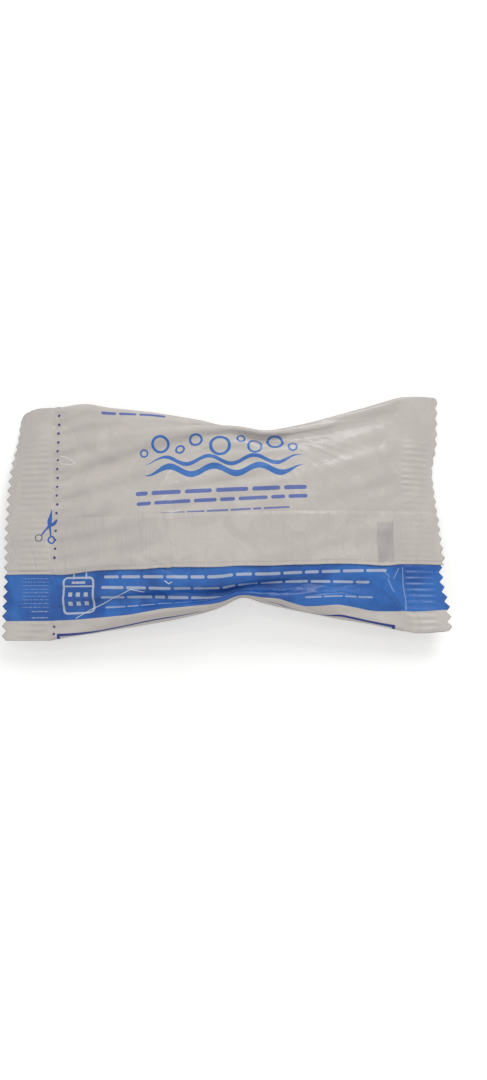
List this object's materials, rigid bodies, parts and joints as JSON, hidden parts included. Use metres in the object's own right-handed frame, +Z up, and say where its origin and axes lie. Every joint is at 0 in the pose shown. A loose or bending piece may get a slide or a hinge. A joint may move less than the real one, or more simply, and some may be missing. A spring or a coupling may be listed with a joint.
{
  "type": "washing machine cleaner packet",
  "caption": "Sealed flow-wrap film packet pinched round a disc-shaped cleaning tablet, lying flat with its fin seal up, ribbed end seals and zigzag-cut ends",
  "frame": {"origin": "middle of the base, at the height the packet rests on", "axes": "+X along the packet from its curled end to its drooping end, +Y to the edge away from the fin's free edge, +Z up"},
  "size_m": [0.1338, 0.0724, 0.0175],
  "materials": {
    "film": "satin"
  },
  "bodies": {
    "root": {"packet": "film"}
  },
  "joints": []
}
